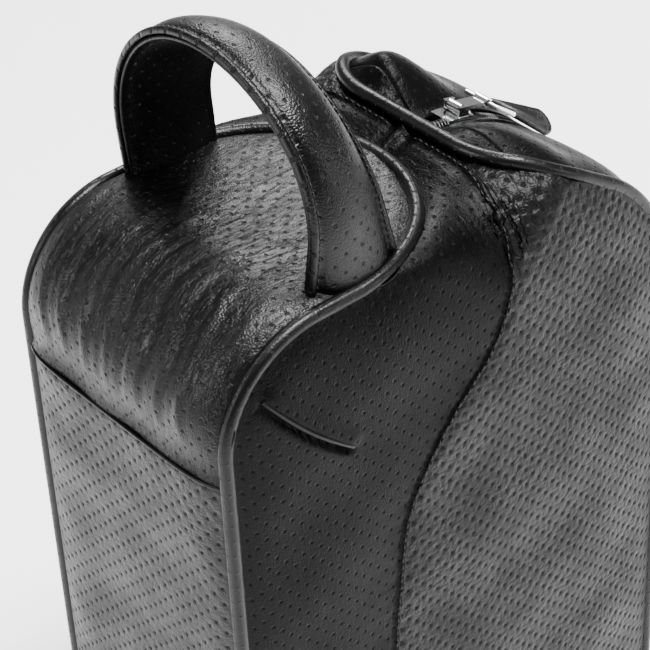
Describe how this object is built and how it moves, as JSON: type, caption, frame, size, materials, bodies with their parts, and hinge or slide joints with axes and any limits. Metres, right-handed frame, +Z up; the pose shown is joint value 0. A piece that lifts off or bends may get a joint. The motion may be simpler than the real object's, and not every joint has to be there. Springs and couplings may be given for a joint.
{
  "type": "golf shoe bag",
  "caption": "Upright perforated-leather shoe bag with a padded top handle, piped edges and a zipper that runs over the rounded shoulder and down the narrow side.",
  "frame": {"origin": "centre of the bounding box's bottom face, on the floor under the bag", "axes": "+X from the spine to the zipper side, +Y across the bag from the near side to the far side, +Z up"},
  "size_m": [0.2514, 0.13, 0.4272],
  "materials": {
    "perforated_leather": "pebbled black leather with punched holes, soft sheen",
    "piping_leather": "smooth rolled black leather, satin",
    "handle_leather": "padded black leather, satin sheen",
    "tab_leather": "black leather pull tab",
    "handle_foam": "closed-cell foam core",
    "lining_fabric": "plain woven black lining",
    "base_board": "stiff board covered in lining cloth",
    "zip_tape": "woven black zipper tape",
    "zip_teeth": "black coil teeth",
    "chrome": "polished chrome"
  },
  "bodies": {
    "shell": {"handle_panel": "perforated_leather", "spine_panel": "perforated_leather", "base_panel": "perforated_leather", "zip_end_panel": "perforated_leather", "zip_gusset": "perforated_leather", "yoke_panel_near": "perforated_leather", "yoke_panel_far": "perforated_leather", "side_panel_near": "perforated_leather", "side_panel_far": "perforated_leather", "spine_piping": "piping_leather", "zip_piping": "piping_leather", "base_piping_near": "piping_leather", "base_piping_far": "piping_leather", "lining_near": "lining_fabric", "lining_far": "lining_fabric", "lining_band": "lining_fabric", "base_board": "base_board", "tape_top_near": "zip_tape", "tape_top_far": "zip_tape", "chain_top_near": "zip_teeth", "chain_top_far": "zip_teeth", "zip_stop": "chrome", "handle_root_near": "handle_leather", "handle_root_far": "handle_leather"},
    "lip_near": {"zip_lip_near": "perforated_leather", "tape_lip_near": "zip_tape", "chain_lip_near": "zip_teeth"},
    "lip_far": {"zip_lip_far": "perforated_leather", "tape_lip_far": "zip_tape", "chain_lip_far": "zip_teeth"},
    "handle": {"handle_outer": "handle_leather", "handle_core": "handle_foam", "handle_inner": "handle_leather"},
    "slider_upper": {"slider_upper": "chrome"},
    "link_upper": {"link_upper": "chrome"},
    "pull_upper": {"loop_upper": "chrome", "tab_upper": "tab_leather"},
    "slider_lower": {"slider_lower": "chrome"},
    "link_lower": {"link_lower": "chrome"},
    "pull_lower": {"loop_lower": "chrome", "tab_lower": "tab_leather"}
  },
  "joints": [
    {"name": "handle_swing", "type": "hinge", "parent": "shell", "child": "handle", "pos_m": [-0.0537, 0, 0.365], "axis": [0, 1, 0], "range_deg": [-20, 20], "stiffness_Nm_per_rad": 0.4},
    {"name": "lip_near_open", "type": "hinge", "parent": "shell", "child": "lip_near", "pos_m": [0.1102, -0.0562, 0.135], "axis": [0, 0, -1], "range_deg": [0, 60]},
    {"name": "lip_far_open", "type": "hinge", "parent": "shell", "child": "lip_far", "pos_m": [0.1102, 0.0562, 0.135], "axis": [0, 0, 1], "range_deg": [0, 60]},
    {"name": "slider_upper_run", "type": "hinge", "parent": "shell", "child": "slider_upper", "pos_m": [0.0293, 0, 0.26], "axis": [0, 1, 0], "range_deg": [-7, 12]},
    {"name": "link_upper_swing", "type": "hinge", "parent": "slider_upper", "child": "link_upper", "pos_m": [0.04883, 0, 0.34458], "axis": [0, -1, 0], "range_deg": [0, 100]},
    {"name": "tab_upper_swing", "type": "hinge", "parent": "link_upper", "child": "pull_upper", "pos_m": [0.06344, 0, 0.3412], "axis": [0, -1, 0], "range_deg": [0, 90]},
    {"name": "slider_lower_run", "type": "hinge", "parent": "shell", "child": "slider_lower", "pos_m": [0.0293, 0, 0.26], "axis": [0, 1, 0], "range_deg": [-6, 8]},
    {"name": "link_lower_swing", "type": "hinge", "parent": "slider_lower", "child": "link_lower", "pos_m": [0.11034, 0, 0.29111], "axis": [0, -1, 0], "range_deg": [0, 100]},
    {"name": "tab_lower_swing", "type": "hinge", "parent": "link_lower", "child": "pull_lower", "pos_m": [0.11571, 0, 0.2771], "axis": [0, -1, 0], "range_deg": [0, 90]}
  ]
}
